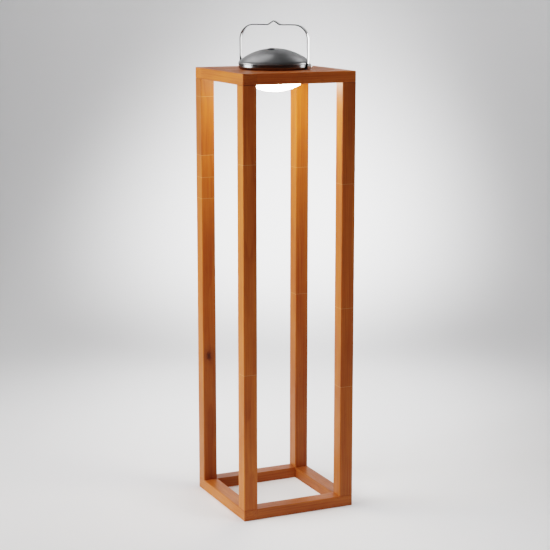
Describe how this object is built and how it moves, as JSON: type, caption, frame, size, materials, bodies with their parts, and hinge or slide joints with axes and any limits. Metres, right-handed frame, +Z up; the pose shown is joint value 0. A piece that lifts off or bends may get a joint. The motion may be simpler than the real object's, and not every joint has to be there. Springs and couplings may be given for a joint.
{
  "type": "floor lamp",
  "caption": "Tall open wooden lantern frame with a lift-out rechargeable lamp head in its top: metal dome, hanging bail and an opal bowl that shines down.",
  "frame": {"origin": "centre of the square foot, on the floor", "axes": "+Z up; -Y towards the front side of the frame, +X to its right"},
  "size_m": [0.25, 0.25, 1.0185],
  "materials": {
    "frame_wood": "satin oiled, reddish brown",
    "dowel_wood": "plain",
    "dark_metal": "satin dark grey",
    "button_metal": "satin dark grey",
    "screw_steel": "zinc plated",
    "bail_steel": "brushed",
    "polished_steel": "polished",
    "dark_plastic": "moulded",
    "opal": "opal, lit from inside",
    "seal_rubber": "soft",
    "bare_aluminium": "plain",
    "white_board": "printed board, white mask",
    "board": "printed board, green mask",
    "led": "clear over phosphor",
    "cell_wrap": "plastic film over the can"
  },
  "bodies": {
    "frame": {"post_front_right": "frame_wood", "post_back_right": "frame_wood", "post_back_left": "frame_wood", "post_front_left": "frame_wood", "base_rail_front": "frame_wood", "base_rail_right": "frame_wood", "base_rail_back": "frame_wood", "base_rail_left": "frame_wood", "top_rail_front": "frame_wood", "top_rail_right": "frame_wood", "top_rail_back": "frame_wood", "top_rail_left": "frame_wood", "top_panel": "frame_wood", "base_post_dowels": "dowel_wood", "top_post_dowels": "dowel_wood", "base_rail_dowels": "dowel_wood", "top_rail_dowels": "dowel_wood"},
    "lamp_head": {"head_base_ring": "dark_metal", "dome_cap": "dark_metal", "dome_screws": "screw_steel", "tact_switch": "dark_plastic", "switch_board": "board", "switch_board_screws": "screw_steel", "pivot_screws": "polished_steel", "pivot_washers": "dark_plastic", "opal_bowl": "opal", "bowl_seal": "seal_rubber", "lamp_plate": "bare_aluminium", "lamp_plate_screws": "screw_steel", "led_board": "white_board", "led_chips": "led", "battery_cells": "cell_wrap", "battery_holder": "dark_plastic", "control_board": "board", "board_spacers": "screw_steel", "board_screws": "screw_steel", "charging_socket": "screw_steel"},
    "bail": {"bail_handle": "bail_steel"},
    "button": {"power_button": "button_metal", "switch_plunger": "dark_plastic"},
    "plug": {"port_plug": "seal_rubber"}
  },
  "joints": [
    {"name": "head_lift", "type": "slide", "parent": "frame", "child": "lamp_head", "axis": [0, 0, 1], "range_m": [0, 0.12]},
    {"name": "bail_swing", "type": "hinge", "parent": "lamp_head", "child": "bail", "pos_m": [0, 0, 0.9263], "axis": [0.6691, -0.7431, 0], "range_deg": [-90, 90]},
    {"name": "button_press", "type": "slide", "parent": "lamp_head", "child": "button", "axis": [0.1066, 0.096, -0.9897], "range_m": [0, 0.0008], "stiffness_N_per_m": 2000, "springref_m": -0.0005},
    {"name": "plug_pull", "type": "slide", "parent": "lamp_head", "child": "plug", "axis": [0.7431, 0.6691, 0], "range_m": [0, 0.012]}
  ]
}
